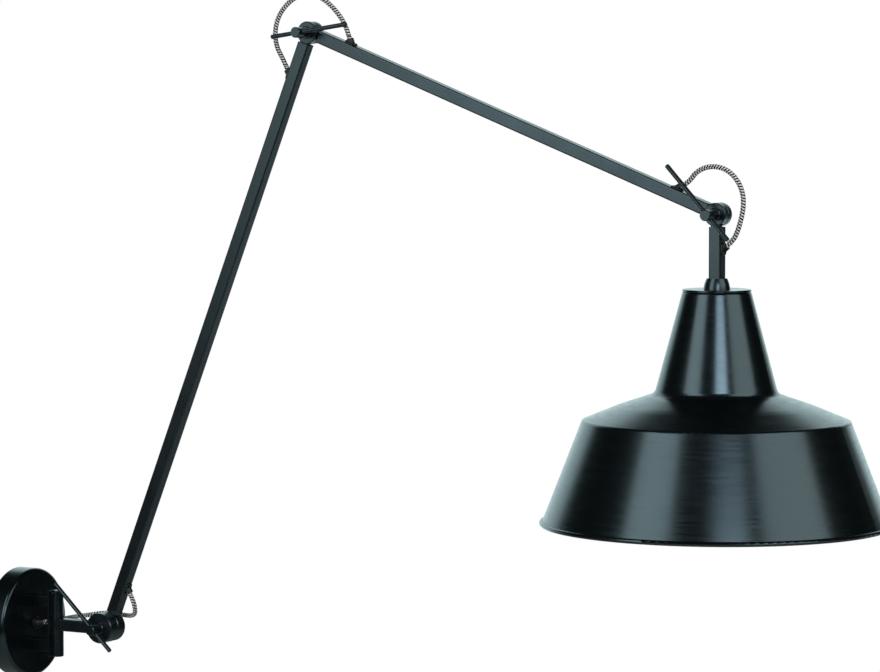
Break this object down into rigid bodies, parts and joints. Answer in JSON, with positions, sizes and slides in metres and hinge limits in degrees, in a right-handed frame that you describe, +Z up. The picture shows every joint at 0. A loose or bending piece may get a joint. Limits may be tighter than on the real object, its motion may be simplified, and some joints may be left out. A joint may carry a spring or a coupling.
{
  "type": "articulating wall lamp",
  "caption": "Black wall lamp with a hinged wall cup, two square-tube arms with tee-bar clamp joints, textile cable loops and a spun steel shade.",
  "frame": {"origin": "on the wall, at the middle of the wall cup's back face", "axes": "+X straight out from the wall, +Z up, +Y sideways so that the clamp screws face -Y"},
  "size_m": [1.0818, 0.3751, 0.7967],
  "materials": {
    "black_coat": "satin",
    "black_shade": "semi-gloss",
    "zinc_steel": "satin",
    "brass": "satin",
    "black_plastic": "matte",
    "bakelite": "gloss",
    "ceramic": "gloss",
    "friction_fibre": "matte",
    "textile_cable": "woven",
    "terminal_plastic": "matte"
  },
  "bodies": {
    "wall_mount": {"wall_cup": "black_shade", "mounting_strap": "zinc_steel", "cup_side_screws": "black_coat", "backing_plate": "zinc_steel", "bracket_screws": "zinc_steel", "terminal_block": "terminal_plastic", "terminal_screws": "zinc_steel", "wall_gland": "black_plastic", "gland_nut": "black_plastic", "wall_bracket": "black_coat", "swivel_pin": "black_coat", "swivel_washers": "friction_fibre", "cable_in_wall_cup": "textile_cable", "cable_swivel_run": "textile_cable"},
    "swivel_arm_body": {"swivel_arm": "black_coat", "swivel_set_screw": "zinc_steel", "shoulder_friction_washer": "friction_fibre", "cable_shoulder_loop": "textile_cable"},
    "shoulder_clamp": {"shoulder_clamp_screw": "black_coat"},
    "shoulder_tee": {"shoulder_tee_bar": "black_coat"},
    "lower_arm": {"lower_arm_foot": "black_coat", "shoulder_nut": "black_coat", "lower_arm_tube": "black_coat", "lower_arm_grommet": "black_plastic", "lower_arm_elbow_grommet": "black_plastic", "lower_arm_elbow_plate": "black_coat", "elbow_friction_washer": "friction_fibre", "cable_in_lower_arm": "textile_cable", "cable_elbow_loop": "textile_cable"},
    "elbow_clamp": {"elbow_clamp_screw": "black_coat"},
    "elbow_tee": {"elbow_tee_bar": "black_coat"},
    "upper_arm": {"upper_arm_elbow_plate": "black_coat", "elbow_nut": "black_coat", "upper_arm_tube": "black_coat", "upper_arm_elbow_grommet": "black_plastic", "upper_arm_head_grommet": "black_plastic", "upper_arm_head_plate": "black_coat", "head_nut": "black_coat", "cable_in_upper_arm": "textile_cable", "cable_head_loop": "textile_cable"},
    "head_clamp": {"head_clamp_screw": "black_coat"},
    "head_tee": {"head_tee_bar": "black_coat"},
    "lamp_head": {"stem_plate": "black_coat", "head_friction_washer": "friction_fibre", "stem_tube": "black_coat", "stem_grommet": "black_plastic", "stem_foot": "black_coat", "shade_cap": "black_shade", "shade": "black_shade", "nipple": "zinc_steel", "nipple_nut": "zinc_steel", "lampholder_dome": "bakelite", "lampholder_body": "bakelite", "lampholder_insert": "ceramic", "socket_shell": "brass", "centre_contact": "brass", "cable_in_stem": "textile_cable"}
  },
  "joints": [
    {"name": "swivel", "type": "hinge", "parent": "wall_mount", "child": "swivel_arm_body", "pos_m": [0.0565, 0, 0], "axis": [0, 0, 1], "range_deg": [-80, 80], "deforming": ["cable_swivel_run"]},
    {"name": "shoulder", "type": "hinge", "parent": "swivel_arm_body", "child": "lower_arm", "pos_m": [0.119, 0, 0], "axis": [0, -1, 0], "range_deg": [-68, 20], "deforming": ["cable_shoulder_loop"]},
    {"name": "elbow", "type": "hinge", "parent": "lower_arm", "child": "upper_arm", "pos_m": [0.39261, 0, 0.68756], "axis": [0, -1, 0], "range_deg": [-20, 90], "deforming": ["cable_elbow_loop"]},
    {"name": "shade_tilt", "type": "hinge", "parent": "upper_arm", "child": "lamp_head", "pos_m": [0.8942, 0, 0.493], "axis": [0, -1, 0], "range_deg": [-40, 75], "deforming": ["cable_head_loop"]},
    {"name": "shoulder_clamp_turn", "type": "hinge", "parent": "swivel_arm_body", "child": "shoulder_clamp", "pos_m": [0.119, -0.00735, 0], "axis": [0, -1, 0], "range_deg": [0, 180]},
    {"name": "shoulder_tee_slide", "type": "slide", "parent": "shoulder_clamp", "child": "shoulder_tee", "axis": [-0.7193, 0, 0.6947], "range_m": [-0.039, 0]},
    {"name": "elbow_clamp_turn", "type": "hinge", "parent": "lower_arm", "child": "elbow_clamp", "pos_m": [0.39261, 0.0083, 0.68756], "axis": [0, -1, 0], "range_deg": [0, 180]},
    {"name": "elbow_tee_slide", "type": "slide", "parent": "elbow_clamp", "child": "elbow_tee", "axis": [0.9903, 0, 0.1392], "range_m": [-0.028, 0]},
    {"name": "head_clamp_turn", "type": "hinge", "parent": "lamp_head", "child": "head_clamp", "pos_m": [0.8942, 0.0083, 0.493], "axis": [0, -1, 0], "range_deg": [0, 180]},
    {"name": "head_tee_slide", "type": "slide", "parent": "head_clamp", "child": "head_tee", "axis": [-0.6756, 0, 0.7373], "range_m": [-0.035, 0]}
  ]
}
